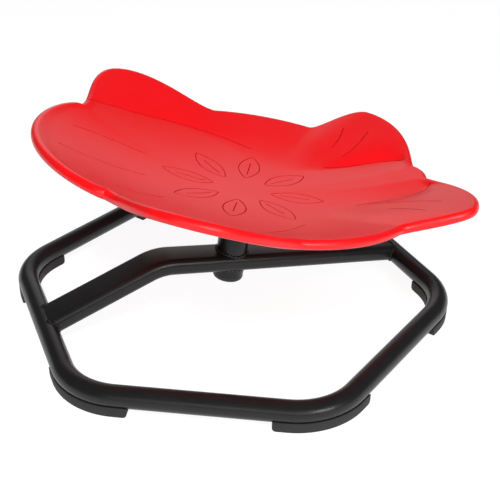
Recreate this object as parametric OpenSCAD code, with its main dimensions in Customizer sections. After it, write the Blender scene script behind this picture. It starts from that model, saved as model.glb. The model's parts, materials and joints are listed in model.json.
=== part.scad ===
// Toddler spinning seat: a lobed moulded dish that turns on a tilted ball-bearing hub.
// The hub stands on a bent crossbar inside a hexagonal ring of round tube with six feet.
// Millimetres, +Z up, floor at z = 0, +X along the crossbar towards its low end.
// The origin is the middle of the whole footprint.

/* [Base ring] */
// Distance from the middle of the ring to the corners of its centreline hexagon
ring_radius = 308; // [285:1:330]
// Outer diameter of the ring tube
ring_tube = 28; // [26:1:32]
// Wall of the ring tube
ring_wall = 2; // [1.5:0.1:3]
// Centreline radius of the six corner bends
bend_radius = 88; // [70:1:110]

/* [Feet] */
// Height of the feet below the ring tube
foot_drop = 7; // [6:0.5:10]
// Height that the foot walls reach up beside the tube
foot_wrap = 7; // [4:0.5:9]
// Straight length of a foot past each end of the bend
foot_tail = 17; // [10:1:25]
// Rounding of the lower corner at the ends of a foot
foot_end_round = 5; // [2:0.5:8]
// Bevel along the lower edges of a foot
foot_bevel = 1.2; // [0.5:0.1:2]
// Gap between a foot and the tube that it cradles
foot_gap = 0.15; // [0.05:0.05:0.3]
// Angle of the two foot screws either side of the middle of the bend
foot_screw_angle = 17; // [10:1:24]
// Shank diameter of the foot screws
foot_screw_d = 4; // [3:0.5:5]
// Head diameter of the foot screws
foot_screw_head_d = 7; // [6:0.5:9]
// Head thickness of the foot screws
foot_screw_head_h = 2.2; // [1.8:0.1:2.8]
// Depth of the screw heads above the floor face of the foot
foot_screw_recess = 1; // [0.6:0.1:1.5]
// Length of the screw tips inside the ring tube
foot_screw_tip = 3; // [2:0.5:6]

/* [Crossbar] */
// Width of the crossbar tube
bar_width = 50; // [46:1:56]
// Height of the crossbar tube
bar_height = 24; // [22:0.5:25]
// Outer corner radius of the crossbar tube
bar_corner = 9; // [6:0.5:10.5]
// Wall of the crossbar tube
bar_wall = 2; // [1.5:0.1:3]
// Height of the crossbar's middle above the ring centreline at the hub
bar_rise = 42.5; // [38:0.5:50]
// Height of the crossbar's middle above the ring centreline at both ends
bar_end_rise = 1; // [0:0.1:1]
// Distance along the crossbar from the hub to the bend
bar_peak = 108; // [100:1:130]
// Centreline radius of the bend in the crossbar
bar_bend_radius = 70; // [50:1:90]

/* [Hub] */
// Outer diameter of the hub housing
housing_d = 43; // [41:0.5:45]
// Height of the housing above the crossbar
housing_rise = 24; // [20:0.5:30]
// Depth of the housing below the crossbar
housing_drop = 11.5; // [10:0.5:15]
// Outer diameter of the ball bearings
bearing_od = 35; // [34:0.5:36]
// Bore of the ball bearings
bearing_id = 15; // [14:0.5:16]
// Width of the ball bearings
bearing_w = 11; // [10:0.5:12]
// Wall of the bearing races
race_wall = 3.1; // [2.8:0.1:3.2]
// Diameter of the bearing balls
ball_d = 6; // [5:0.5:6.5]
// Number of balls in each bearing
ball_count = 8; // [6:1:8]
// Width of the shoulders inside the housing that the bearings seat against
housing_shoulder = 2; // [1.5:0.5:2.5]
// Depth of the upper bearing below the top of the housing
upper_recess = 2; // [1.5:0.5:4]
// Depth of the lower bearing above the bottom of the housing
lower_recess = 4; // [3:0.5:6]
// Thickness of the retaining washer under the lower bearing
retaining_washer_t = 1.5; // [1:0.5:2]
// Height of the lock nut
nut_h = 6.5; // [5:0.5:8]
// Width across the flats of the lock nut
nut_af = 22; // [20:1:24]
// Wall of the bottom cap
cap_wall = 2; // [1.5:0.5:3]
// Rounding of the bottom edge of the cap
cap_round = 5; // [3:0.5:5]
// Outer diameter of the plated dust washer on top of the housing
dust_washer_d = 42; // [38:0.5:43]
// Thickness of the dust washer
dust_washer_t = 2; // [1:0.5:3]
// Outer diameter of the stem tube that carries the seat
stem_d = 34; // [32:1:36]
// Wall of the stem tube
stem_wall = 3; // [2:0.5:4]
// Length of the spindle head inside the stem
spindle_head = 16; // [10:1:24]

/* [Seat fixing] */
// Diameter of the seat plate
plate_d = 140; // [130:1:150]
// Thickness of the seat plate
plate_t = 4; // [3:0.5:6]
// Diameter of the bolt circle
bolt_circle = 110; // [106:1:112]
// Number of seat bolts
bolt_count = 4; // [3:1:6]
// Thread diameter of the seat bolts
bolt_d = 6; // [5:0.5:6]
// Length of the seat bolts under the head
bolt_length = 16; // [15:0.5:17]
// Thickness of the bolt washers
bolt_washer_t = 1.6; // [1:0.2:2]
// Outer diameter of the threaded inserts
insert_d = 8.4; // [8:0.2:9]
// Length of the threaded inserts
insert_length = 11; // [10.5:0.5:12]

/* [Seat dish] */
// Turn of the seat about the spindle from the low end of the crossbar
seat_turn = -8.5; // [-20:0.5:20]
// Height of the dish floor above the middle of the crossbar
dish_height = 105.5; // [98:0.5:120]
// Wall of the moulded shell
shell_wall = 4.5; // [3.5:0.1:6]
// Height of the rounded edge around the rim
rim_height = 13; // [10:0.5:15]
// Depth of the mounting boss below the dish floor
boss_depth = 17; // [15:0.5:20]
// Inner diameter of the mounting boss
boss_id = 80; // [70:1:88]
// Power of the dish profile from its floor to the rim
dish_power = 2.2; // [1.9:0.1:2.6]
// Depth of the bowl at the foot of the raised sides below an even bowl
bowl_dip = 15; // [5:1:20]

/* [Seat rim] */
// Angle of the notch beside the tail
tail_notch_angle = 4.5; // [4:0.5:8]
// Distance of the tail notch from the spindle
tail_notch_r = 264; // [245:1:275]
// Rise of the tail notch above the dish floor
tail_notch_rise = 38; // [30:1:45]
// Angle of the notch between the foot lobe and the side lobe
foot_notch_angle = 49; // [46:1:52]
// Distance of that notch from the spindle
foot_notch_r = 235; // [220:1:245]
// Rise of that notch above the dish floor
foot_notch_rise = 34; // [25:1:45]
// Angle of the notch between the side lobe and the arm lobe
side_notch_angle = 88; // [84:1:92]
// Distance of that notch from the spindle
side_notch_r = 224; // [210:1:235]
// Rise of that notch above the dish floor
side_notch_rise = 36; // [25:1:45]
// Angle of the notch between the arm lobe and the head lobe
arm_notch_angle = 144.5; // [140:0.5:149]
// Distance of that notch from the spindle
arm_notch_r = 257; // [240:1:270]
// Rise of that notch above the dish floor
arm_notch_rise = 56; // [45:1:65]
// Reach of the foot lobes past their notches
foot_reach = 63; // [45:1:70]
// Rise of the foot lobes above their notches
foot_rise = 29; // [20:1:40]
// Reach of the arm lobes past their notches
arm_reach = 58; // [45:1:70]
// Rise of the arm lobes above their notches
arm_rise = 32; // [20:1:40]
// Reach of the head lobe past its notches
head_reach = 24; // [15:1:32]
// Rise of the head lobe above its notches
head_rise = 10; // [4:1:14]

/* [Hidden] */
$fn = 96;

// Gap between pieces that are pressed, welded or bolted together
seat_gap = 0.02;
// Gap at the welds, where one tube is cut to the outline of another
weld_gap = 0.05;
// Gap between the turning dust washer and the fixed housing
turn_gap = 0.4;
// Radial gaps from the balls to their raceways and to the pockets of their cage
ball_gap = 0.03;
pocket_gap = 0.1;
// Radial room round the heads of the foot screws and the shanks of the seat bolts
head_room = 0.5;
bolt_room = 0.3;
// Overlap of cutting tools past the faces that they cut
past = 1;
// Step down from a bend to the straight run beside it, and how far the run laps into the bend
run_step = 0.2;
run_lap = 1;

// Base ring
corner_count = 6;
corner_angle = 360 / corner_count;
ring_apothem = ring_radius * cos(corner_angle / 2);
bend_middle = ring_radius - bend_radius / cos(corner_angle / 2);
side_length = 2 * (ring_apothem - bend_radius) * tan(corner_angle / 2);
ring_z = foot_drop + ring_tube / 2;

// Crossbar, a long leg under the hub and a short leg behind the bend
bar_tilt = atan((bar_rise - bar_end_rise) / ring_apothem);
hub_z = ring_z + bar_rise;
peak_x = -bar_peak * cos(bar_tilt);
peak_z = hub_z + bar_peak * sin(bar_tilt);
back_slope = atan((peak_z - ring_z - bar_end_rise) / (ring_apothem + peak_x));
bar_bend = bar_tilt + back_slope;
bar_tangent = bar_bend_radius * tan(bar_bend / 2);

// Hub, heights along the spindle from the middle of the crossbar
housing_top = bar_height / 2 + housing_rise;
housing_bottom = -bar_height / 2 - housing_drop;
upper_bearing_z = housing_top - upper_recess - bearing_w;
lower_bearing_z = housing_bottom + lower_recess;
pitch_r = (bearing_od + bearing_id) / 4;
shoulder_r = bearing_od / 2 - housing_shoulder;
shaft_r = bearing_id / 2 - seat_gap;
collar_r = bearing_id / 2 + race_wall;
spacer_wall = 2;
cage_wall = 2;
cage_lip = 1;
nut_top = lower_bearing_z - retaining_washer_t;
nut_bottom = nut_top - nut_h;
thread_end = 1;
spindle_end = nut_bottom - thread_end;
cap_room = 0.5;
cap_bottom = spindle_end - cap_room - cap_wall;
dust_washer_z = housing_top + turn_gap;
stem_bottom = dust_washer_z + dust_washer_t;
stem_bore = stem_d - 2 * stem_wall;

// Seat fixing
boss_face = dish_height - boss_depth;
plate_bottom = boss_face - plate_t;
bolt_head_z = plate_bottom - bolt_washer_t;
bolt_head_h = bolt_d * 2 / 3;
bolt_head_af = bolt_d * 5 / 3;
bolt_washer_d = 2 * bolt_d;
bolt_tip = bolt_length - bolt_washer_t - plate_t;
insert_hole_spare = 1;
insert_hole_depth = max(insert_length, bolt_tip) + insert_hole_spare;
hex_half_angle = 30;

// Lobes around half of the rim: start notch, end notch, reach, rise, and the form of the swell.
// A notch is [angle, distance, rise]. A form is [place of the crest, power before it, power after it].
tail_notch = [tail_notch_angle, tail_notch_r, tail_notch_rise];
foot_notch = [foot_notch_angle, foot_notch_r, foot_notch_rise];
side_notch = [side_notch_angle, side_notch_r, side_notch_rise];
arm_notch = [arm_notch_angle, arm_notch_r, arm_notch_rise];
foot_form = [0.7, 1.2, 1.85];
side_form = [0.5, 0.85, 0.85];
arm_form = [0.55, 1.75, 1.85];
head_form = [0.5, 0.5, 0.5];
side_reach = 0.5;
foot_steps = 14;
side_steps = 8;
arm_steps = 14;
head_steps = 10;

function mix(a, b, s) = a + (b - a) * s;
function mirrored(notch) = [360 - notch[0], notch[1], notch[2]];
function swell(s, form) =
    s < form[0] ? pow(sin(90 * s / form[0]), form[1]) : pow(sin(90 * (1 - s) / (1 - form[0])), form[2]);
function lobe_point(from, to, reach, rise, form, s) =
    mix(from, to, s) + [0, reach, rise] * swell(s, form);

half_rim = concat(
    [[0, tail_notch_r, tail_notch_rise]],
    [for (i = [0:foot_steps - 1])
        lobe_point(tail_notch, foot_notch, foot_reach, foot_rise, foot_form, i / foot_steps)],
    [for (i = [0:side_steps - 1])
        lobe_point(foot_notch, side_notch, side_reach, 0, side_form, i / side_steps)],
    [for (i = [0:arm_steps - 1])
        lobe_point(side_notch, arm_notch, arm_reach, arm_rise, arm_form, i / arm_steps)],
    [for (i = [0:head_steps])
        lobe_point(arm_notch, mirrored(arm_notch), head_reach, head_rise, head_form, i / head_steps / 2)]
);
rim = concat(half_rim, [for (i = [len(half_rim) - 2:-1:1]) mirrored(half_rim[i])]);

// The bowl ends at a fold from the arm notch to the tail notch, where the sides turn up and run straight to the
// rim. The fold is crisp at both ends and soft in between. Its places in plan, tail at +X, are shares of the
// distance of the arm notch. Its softness is the half width of the bend by angle from the tail.
fold_plan = [
    [-0.798, 0.615], [-0.716, 0.65], [-0.591, 0.681], [-0.42, 0.693], [-0.261, 0.696], [-0.101, 0.665],
    [0.047, 0.599], [0.187, 0.494], [0.304, 0.432], [0.409, 0.366], [0.486, 0.304], [0.549, 0.257],
    [0.626, 0.241], [0.708, 0.237], [0.802, 0.237], [0.887, 0.226], [0.961, 0.198], [0.996, 0.167]
];
fold_reach = [for (p = fold_plan) [atan2(p[1], p[0]), arm_notch_r * norm(p)]];
fold_softness = [[144, 4], [105, 6], [90, 14], [75, 30], [60, 45], [35, 40], [22, 14], [16, 6], [8, 4]];
fold_margin = 10;
bowl_dip_power = 0.43;
edge_r = rim_height / 2;
function side_angle(r) = min(r[0], 360 - r[0]);
function edge_reach(r) = r[1] - edge_r;
function fold_at(r) = min(lookup(side_angle(r), fold_reach), edge_reach(r) - fold_margin);
function bowl_rim(r) =
    let (s = (side_angle(r) - tail_notch_angle) / (arm_notch_angle - tail_notch_angle))
    s > 0 && s < 1
        ? mix(tail_notch, arm_notch, s) - [0, edge_r, bowl_dip * pow(sin(180 * pow(s, bowl_dip_power)), 2)]
        : r - [0, edge_r, 0];
function bowl_rise(r, distance) = let (b = bowl_rim(r)) b[2] * pow(distance / b[1], dish_power);
function soft_ramp(n, w) = abs(n) < w ? pow(n + w, 2) / (4 * w) : max(n, 0);
function top_z(r, distance) =
    let (
        fold = fold_at(r),
        side = edge_reach(r) - fold,
        softness = lookup(side_angle(r), fold_softness),
        slope = dish_power * bowl_rise(r, fold) / fold,
        turn_up = (r[2] - bowl_rise(r, fold) - slope * side) / soft_ramp(side, softness)
    )
    dish_height + bowl_rise(r, min(distance, fold)) + slope * max(0, distance - fold)
        + turn_up * soft_ramp(distance - fold, softness);
function spot(r, distance, z) = [distance * cos(r[0]), distance * sin(r[0]), z];

// One section of the shell in the direction of rim point r, from the dish floor out over the fold and the
// rounded edge and back underneath to the boss
edge_step = 30;
bowl_steps = 7;
side_rows_up = 5;
under_side_steps = 4;
under_bowl_steps = 6;
lip_fillet = 3;
boss_draft = 4;
boss_skin = shell_wall + 1;
boss_foot = plate_d / 2 + boss_draft;
function under_spot(r, distance, drop) = spot(r, distance, top_z(r, distance) - shell_wall - drop);
function section(r) =
    let (
        fold = fold_at(r),
        edge_x = edge_reach(r),
        edge_z = dish_height + r[2] - edge_r,
        under_x = edge_x - shell_wall / 2,
        lip_x = under_x - lip_fillet,
        bowl_rows = [for (i = [1:bowl_steps]) fold * i / bowl_steps],
        side_rows = [for (i = [1:side_rows_up - 1]) mix(fold, edge_x, i / side_rows_up)],
        under_rows = concat(
            [for (i = [0:under_side_steps - 1]) mix(lip_x, fold, i / under_side_steps)],
            [for (i = [0:under_bowl_steps]) mix(fold, boss_foot, i / under_bowl_steps)]
        )
    )
    concat(
        [for (d = concat(bowl_rows, side_rows)) spot(r, d, top_z(r, d))],
        [for (e = [90:-edge_step:-90]) spot(r, edge_x + edge_r * cos(e), edge_z + edge_r * sin(e))],
        [spot(r, under_x, edge_z - edge_r)],
        [under_spot(r, under_x, lip_fillet)],
        [for (d = under_rows) under_spot(r, d, 0)],
        [spot(r, plate_d / 2, boss_face)],
        [spot(r, boss_id / 2, boss_face)],
        [spot(r, boss_id / 2 - boss_draft, dish_height - boss_skin)]
    );

// Where the front lobes reach furthest along +X, and how far that moves the middle of the footprint
function seat_x(p) =
    (p[0] * cos(seat_turn) - p[1] * sin(seat_turn)) * cos(bar_tilt) + p[2] * sin(bar_tilt);
rim_reach = max([for (r = rim) seat_x(spot(r, r[1], dish_height + r[2] - edge_r))]);
base_reach = ring_apothem + ring_tube / 2;
footprint_shift = (max(rim_reach, base_reach) - base_reach) / 2;

module on_floor() translate([-footprint_shift, 0, 0]) children();
module at_hub() on_floor() translate([0, 0, hub_z]) rotate([0, bar_tilt, 0]) children();
module at_seat() at_hub() rotate([0, 0, seat_turn]) children();
module at_corner(i) on_floor() rotate([0, 0, (i - 0.5) * corner_angle])
    translate([bend_middle, 0, ring_z]) children();
module at_foot_screws() for (side = [-1, 1]) rotate([0, 0, side * foot_screw_angle])
    translate([bend_radius, 0, -ring_z]) children();
module at_bolts() for (i = [0:bolt_count - 1]) rotate([0, 0, (i + 0.5) * 360 / bolt_count])
    translate([bolt_circle / 2, 0, 0]) children();

module ring_shape(r1, r2, z0, z1) translate([0, 0, z0]) difference() {
    cylinder(r = r2, h = z1 - z0);
    translate([0, 0, -past]) cylinder(r = r1, h = z1 - z0 + 2 * past);
}

module rounded_outline(w, h, r) {
    square([w - 2 * r, h], center = true);
    square([w, h - 2 * r], center = true);
    for (x = [-1, 1], y = [-1, 1]) translate([x * (w / 2 - r), y * (h / 2 - r)]) circle(r = r);
}

// Base ring: six straight sides and six bends of one hollow tube
module ring_path(r) for (i = [1:corner_count]) at_corner(i) {
    rotate([0, 0, -corner_angle / 2]) rotate_extrude(angle = corner_angle)
        translate([bend_radius, 0]) circle(r = r);
    rotate([0, 0, corner_angle / 2]) translate([bend_radius, -run_lap, 0]) rotate([-90, 0, 0])
        cylinder(r = r - run_step, h = side_length + 2 * run_lap);
}

module base_ring() color([0.09, 0.09, 0.1]) difference() {
    ring_path(ring_tube / 2);
    ring_path(ring_tube / 2 - ring_wall);
    for (i = [1:corner_count]) at_corner(i) at_foot_screws() translate([0, 0, foot_drop - past])
        cylinder(d = foot_screw_d + 2 * seat_gap, h = ring_wall + 2 * past);
}

// Crossbar: a rounded rectangular tube with one bend, cut at both ends to the outline of the ring
module bar_path(inset) {
    h = bar_height - 2 * inset;
    w = bar_width - 2 * inset;
    r = bar_corner - inset;
    front_run = (ring_apothem - peak_x) / cos(bar_tilt) - bar_tangent + run_lap;
    back_run = (ring_apothem + peak_x) / cos(back_slope) - bar_tangent + run_lap;
    translate([peak_x, 0, peak_z]) {
        rotate([0, 90 + bar_tilt, 0]) translate([0, 0, bar_tangent - run_lap]) linear_extrude(front_run)
            rounded_outline(h - 2 * run_step, w - 2 * run_step, r - run_step);
        rotate([0, -90 - back_slope, 0]) translate([0, 0, bar_tangent - run_lap]) linear_extrude(back_run)
            rounded_outline(h - 2 * run_step, w - 2 * run_step, r - run_step);
        rotate([0, (bar_tilt - back_slope) / 2, 0]) translate([0, 0, -bar_bend_radius / cos(bar_bend / 2)])
            rotate([90, 0, 0]) rotate([0, 0, 90 - bar_bend / 2]) rotate_extrude(angle = bar_bend)
            translate([bar_bend_radius, 0]) rounded_outline(h, w, r);
    }
}

module crossbar() color([0.09, 0.09, 0.1]) on_floor() difference() {
    bar_path(0);
    bar_path(bar_wall);
    for (side = [-1, 1]) translate([side * ring_apothem, 0, ring_z]) rotate([90, 0, 0])
        cylinder(r = ring_tube / 2 - run_step + weld_gap, h = 2 * bar_width, center = true);
    translate([0, 0, hub_z]) rotate([0, bar_tilt, 0])
        cylinder(d = housing_d + 2 * weld_gap, h = 4 * bar_height, center = true);
}

// Foot: a crescent pad that cradles the underside of a bend
module foot_outline(inset) {
    side = ring_tube / 2 - inset;
    low = inset - ring_z;
    high = foot_wrap - ring_tube / 2 - inset;
    difference() {
        polygon([
            [-side, high], [-side, low + foot_bevel], [foot_bevel - side, low],
            [side - foot_bevel, low], [side, low + foot_bevel], [side, high]
        ]);
        circle(r = ring_tube / 2 + foot_gap + inset);
    }
}

module foot_end(side) difference() {
    translate([0, side > 0 ? foot_tail : run_lap, 0]) rotate([90, 0, 0])
        linear_extrude(foot_tail + run_lap) foot_outline(run_step);
    translate([0, side * (foot_tail - foot_end_round), foot_end_round - ring_z]) rotate([0, 90, 0])
        difference() {
            translate([0, side > 0 ? 0 : -2 * foot_end_round, -ring_tube])
                cube([2 * foot_end_round, 2 * foot_end_round, 2 * ring_tube]);
            cylinder(r = foot_end_round, h = 3 * ring_tube, center = true);
        }
}

module foot(i) color([0.13, 0.13, 0.14]) at_corner(i) difference() {
    union() {
        rotate([0, 0, -corner_angle / 2]) rotate_extrude(angle = corner_angle)
            translate([bend_radius, 0]) foot_outline(0);
        for (side = [-1, 1]) rotate([0, 0, side * corner_angle / 2])
            translate([bend_radius, 0, 0]) foot_end(side);
    }
    at_foot_screws() {
        translate([0, 0, -past]) cylinder(d = foot_screw_d + 2 * seat_gap, h = foot_drop + 2 * past);
        translate([0, 0, -past]) cylinder(
            d = foot_screw_head_d + 2 * head_room,
            h = foot_screw_recess + foot_screw_head_h + past
        );
    }
}

module foot_screws() color([0.5, 0.5, 0.52]) for (i = [1:corner_count]) at_corner(i) at_foot_screws() {
    translate([0, 0, foot_screw_recess]) cylinder(d = foot_screw_head_d, h = foot_screw_head_h);
    translate([0, 0, foot_screw_recess])
        cylinder(d = foot_screw_d, h = foot_drop - foot_screw_recess + ring_wall + foot_screw_tip);
}

// Hub housing: a tube through the crossbar with a bearing seat at each end
module hub_housing() color([0.09, 0.09, 0.1]) at_hub() difference() {
    translate([0, 0, housing_bottom]) cylinder(d = housing_d, h = housing_top - housing_bottom);
    translate([0, 0, housing_bottom - past])
        cylinder(r = shoulder_r, h = housing_top - housing_bottom + 2 * past);
    translate([0, 0, upper_bearing_z]) cylinder(d = bearing_od, h = bearing_w + upper_recess + past);
    translate([0, 0, housing_bottom - past]) cylinder(d = bearing_od, h = lower_recess + bearing_w + past);
}

// Bottom cap: a round plug over the lock nut, with a spigot inside the housing
module hub_cap() color([0.13, 0.13, 0.14]) at_hub() rotate_extrude() difference() {
    union() {
        translate([0, cap_bottom + cap_round])
            square([housing_d / 2, housing_bottom - cap_bottom - cap_round]);
        translate([0, cap_bottom]) square([housing_d / 2 - cap_round, cap_round]);
        intersection() {
            translate([housing_d / 2 - cap_round, cap_bottom + cap_round]) circle(r = cap_round);
            translate([0, cap_bottom]) square([housing_d / 2, cap_round]);
        }
        translate([0, housing_bottom - past])
            square([bearing_od / 2 - seat_gap, lower_recess + past - seat_gap]);
    }
    translate([0, cap_bottom + cap_wall]) square([shoulder_r, 2 * bearing_w]);
}

// Ball bearings
module race(inner, z) color([0.75, 0.75, 0.77]) at_hub() rotate_extrude() difference() {
    translate([inner ? bearing_id / 2 : bearing_od / 2 - race_wall - seat_gap, z])
        square([race_wall, bearing_w]);
    translate([pitch_r, z + bearing_w / 2]) circle(r = ball_d / 2 + ball_gap);
}

module at_balls(z) at_hub() for (i = [0:ball_count - 1]) rotate([0, 0, i * 360 / ball_count])
    translate([pitch_r, 0, z + bearing_w / 2]) children();

module balls(z) color([0.85, 0.85, 0.87]) at_balls(z) sphere(d = ball_d);

module cage(z) color([0.72, 0.6, 0.35]) {
    middle = z + bearing_w / 2;
    reach = ball_d / 2 + cage_lip;
    difference() {
        at_hub() ring_shape(pitch_r - cage_wall / 2, pitch_r + cage_wall / 2, middle - reach, middle + reach);
        at_balls(z) rotate([0, 90, 0]) cylinder(r = ball_d / 2 + pocket_gap, h = ball_d, center = true);
    }
}

module bearing_spacer() color([0.6, 0.6, 0.62]) at_hub()
    ring_shape(bearing_id / 2, bearing_id / 2 + spacer_wall, lower_bearing_z + bearing_w, upper_bearing_z);

// Spindle: a shaft with a collar on the upper bearing and a head inside the stem
module spindle() color([0.6, 0.6, 0.62]) at_hub() rotate_extrude() {
    translate([0, spindle_end]) square([shaft_r, upper_bearing_z + bearing_w - spindle_end]);
    translate([0, upper_bearing_z + bearing_w])
        square([collar_r, stem_bottom - upper_bearing_z - bearing_w]);
    translate([0, stem_bottom]) square([stem_bore / 2 - seat_gap, spindle_head]);
}

module retaining_washer() color([0.7, 0.7, 0.72]) at_hub()
    ring_shape(bearing_id / 2, collar_r, nut_top, nut_top + retaining_washer_t);

module lock_nut() color([0.7, 0.7, 0.72]) at_hub() translate([0, 0, nut_bottom]) difference() {
    cylinder(d = nut_af / cos(hex_half_angle), h = nut_h, $fn = 6);
    translate([0, 0, -past]) cylinder(d = bearing_id, h = nut_h + 2 * past);
}

module dust_washer() color([0.85, 0.85, 0.87]) at_hub()
    ring_shape(collar_r + seat_gap, dust_washer_d / 2, dust_washer_z, stem_bottom);

module stem_tube() color([0.09, 0.09, 0.1]) at_hub()
    ring_shape(stem_bore / 2, stem_d / 2, stem_bottom, plate_bottom);

// Seat plate and its bolts
module seat_plate() color([0.09, 0.09, 0.1]) at_seat() difference() {
    translate([0, 0, plate_bottom]) cylinder(d = plate_d, h = plate_t);
    at_bolts() translate([0, 0, plate_bottom - past])
        cylinder(d = bolt_d + 2 * bolt_room, h = plate_t + 2 * past);
}

module seat_bolts() color([0.7, 0.7, 0.72]) at_seat() at_bolts() {
    translate([0, 0, bolt_head_z - bolt_head_h])
        cylinder(d = bolt_head_af / cos(hex_half_angle), h = bolt_head_h, $fn = 6);
    translate([0, 0, bolt_head_z - bolt_head_h / 2])
        cylinder(d = bolt_d, h = bolt_head_h / 2 + bolt_length);
}

module bolt_washers() color([0.75, 0.75, 0.77]) at_seat() at_bolts()
    ring_shape(bolt_d / 2 + seat_gap, bolt_washer_d / 2, bolt_head_z, plate_bottom);

module threaded_inserts() color([0.78, 0.62, 0.25]) at_seat() at_bolts()
    ring_shape(bolt_d / 2 + seat_gap, insert_d / 2, boss_face, boss_face + insert_length);

// Seat shell: the lobed dish, one skin lofted through the sections and closed at both poles
module lofted(sections, top, bottom) {
    n = len(sections);
    m = len(sections[0]);
    points = concat([for (s = sections) each s], [top, bottom]);
    function at(i, j) = (i % n) * m + j;
    skin = [for (i = [0:n - 1], j = [0:m - 2])
        each [[at(i, j), at(i + 1, j + 1), at(i, j + 1)], [at(i, j), at(i + 1, j), at(i + 1, j + 1)]]];
    top_fan = [for (i = [0:n - 1]) [n * m, at(i + 1, 0), at(i, 0)]];
    bottom_fan = [for (i = [0:n - 1]) [n * m + 1, at(i, m - 1), at(i + 1, m - 1)]];
    polyhedron(points, concat(skin, top_fan, bottom_fan));
}

module seat_shell() color([0.9, 0.08, 0.09]) at_seat() difference() {
    lofted([for (r = rim) section(r)], [0, 0, dish_height], [0, 0, dish_height - boss_skin]);
    at_bolts() translate([0, 0, boss_face - past])
        cylinder(d = insert_d + 2 * seat_gap, h = insert_hole_depth + past);
}

base_ring();
crossbar();
foot(1);  // foot_1
foot(2);  // foot_2
foot(3);  // foot_3
foot(4);  // foot_4
foot(5);  // foot_5
foot(6);  // foot_6
foot_screws();
hub_housing();
hub_cap();
race(false, upper_bearing_z);  // upper_outer_race
race(true, upper_bearing_z);  // upper_inner_race
balls(upper_bearing_z);  // upper_balls
cage(upper_bearing_z);  // upper_cage
race(false, lower_bearing_z);  // lower_outer_race
race(true, lower_bearing_z);  // lower_inner_race
balls(lower_bearing_z);  // lower_balls
cage(lower_bearing_z);  // lower_cage
bearing_spacer();
spindle();
retaining_washer();
lock_nut();
dust_washer();
stem_tube();
seat_plate();
seat_bolts();
bolt_washers();
threaded_inserts();
seat_shell();
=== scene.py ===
# %% [markdown]
# # A spinning seat for a toddler
# The real thing is a red moulded dish that turns on a leaning hub. The hub stands on a bent bar
# inside a hexagon of round black tube with six rubber feet. The frame below already holds every
# piece at its true size and place, so this lesson only has to make each one look like itself.

# %% Load the frame
import json
import math
import bpy
from mathutils import Matrix, Vector


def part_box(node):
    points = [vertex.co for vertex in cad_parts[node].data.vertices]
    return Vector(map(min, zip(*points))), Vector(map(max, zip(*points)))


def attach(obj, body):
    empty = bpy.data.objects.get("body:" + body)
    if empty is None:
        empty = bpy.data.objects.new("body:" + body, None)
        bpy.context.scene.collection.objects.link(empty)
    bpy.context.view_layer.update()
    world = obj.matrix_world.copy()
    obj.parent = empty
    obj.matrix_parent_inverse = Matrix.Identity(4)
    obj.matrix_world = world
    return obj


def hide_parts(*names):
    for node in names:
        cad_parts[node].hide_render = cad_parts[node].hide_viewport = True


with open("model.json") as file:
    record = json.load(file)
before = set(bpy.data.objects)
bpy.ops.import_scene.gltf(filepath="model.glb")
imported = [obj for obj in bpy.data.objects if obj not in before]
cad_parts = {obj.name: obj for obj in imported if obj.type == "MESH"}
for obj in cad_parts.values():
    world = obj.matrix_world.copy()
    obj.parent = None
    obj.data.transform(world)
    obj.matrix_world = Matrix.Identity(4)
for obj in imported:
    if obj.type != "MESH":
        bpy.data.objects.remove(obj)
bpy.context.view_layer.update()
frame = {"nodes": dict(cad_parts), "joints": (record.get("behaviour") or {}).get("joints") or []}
nodes = frame["nodes"]
MM = 0.001

# %% [markdown]
# ## Reading the main places
# The ring's box gives its tube, its flats and its bends, and the seat's joint gives the hub's place
# and lean. Everything that follows hangs on these few numbers, so a change of the frame carries over.

# %% Measure the ring and the hub
ring_low, ring_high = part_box("base_ring")
spin = frame["joints"][0]
hub_place = Vector(spin["pos_m"])
hub_lean = math.atan2(spin["axis"][0], spin["axis"][2])
tube_r = (ring_high.z - ring_low.z) / 2
ring_middle = Vector((hub_place.x, 0, (ring_high.z + ring_low.z) / 2))
half_corner = math.radians(30)
flat_distance = (ring_high.x - ring_low.x) / 2 - tube_r
corner_distance = flat_distance / math.cos(half_corner)
bend_top = ring_high.y - tube_r
bend_r = (corner_distance - bend_top) / (1 / math.cos(half_corner) - 1)
bend_middle = corner_distance - bend_r / math.cos(half_corner)
side_length = 2 * (flat_distance - bend_r) * math.tan(half_corner)
seat_turn = math.radians(-8.5)
at_hub = Matrix.Translation(hub_place) @ Matrix.Rotation(hub_lean, 4, "Y")
at_seat = at_hub @ Matrix.Rotation(seat_turn, 4, "Z")
print("tube radius", round(tube_r / MM, 2), "bend radius", round(bend_r / MM, 2), "mm")

# %% [markdown]
# ## The camera
# The photograph looks down at the seat from the front left with a long lens. The camera stands where
# the six corners of the ring line up with the photograph's, and its small roll is kept.

# %% Set the camera
view_from = ring_middle + Vector((-0.3978, -0.9582, 0.6604))
view_to = ring_middle + Vector((0.0630, 0.0739, 0))
view_roll = math.radians(1.088)
back = (view_from - view_to).normalized()
level = Vector((0, 0, 1)).cross(back).normalized()
upright = back.cross(level)
right = math.cos(view_roll) * level + math.sin(view_roll) * upright
above = back.cross(right)
camera_data = bpy.data.cameras.new("photo_camera")
camera_data.sensor_width = 36
camera_data.lens = 61.45
camera = bpy.data.objects.new("photo_camera", camera_data)
camera.matrix_world = Matrix((
    (right.x, above.x, back.x, view_from.x),
    (right.y, above.y, back.y, view_from.y),
    (right.z, above.z, back.z, view_from.z),
    (0, 0, 0, 1),
))
bpy.context.scene.collection.objects.link(camera)
bpy.context.scene.camera = camera
print("camera distance", round((view_from - view_to).length, 3), "m")

# %% [markdown]
# ## The studio
# A product photograph like this one is taken in a dim studio, with soft boxes beside the camera and a
# white wall beyond the object. The camera sees plain white round the object. Reflections see the white
# where the wall is, so the red keeps its depth on every slope that mirrors the dim rest of the room.
# The lamps can stay gentle, and the floor still takes the object's soft shadow.

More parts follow.
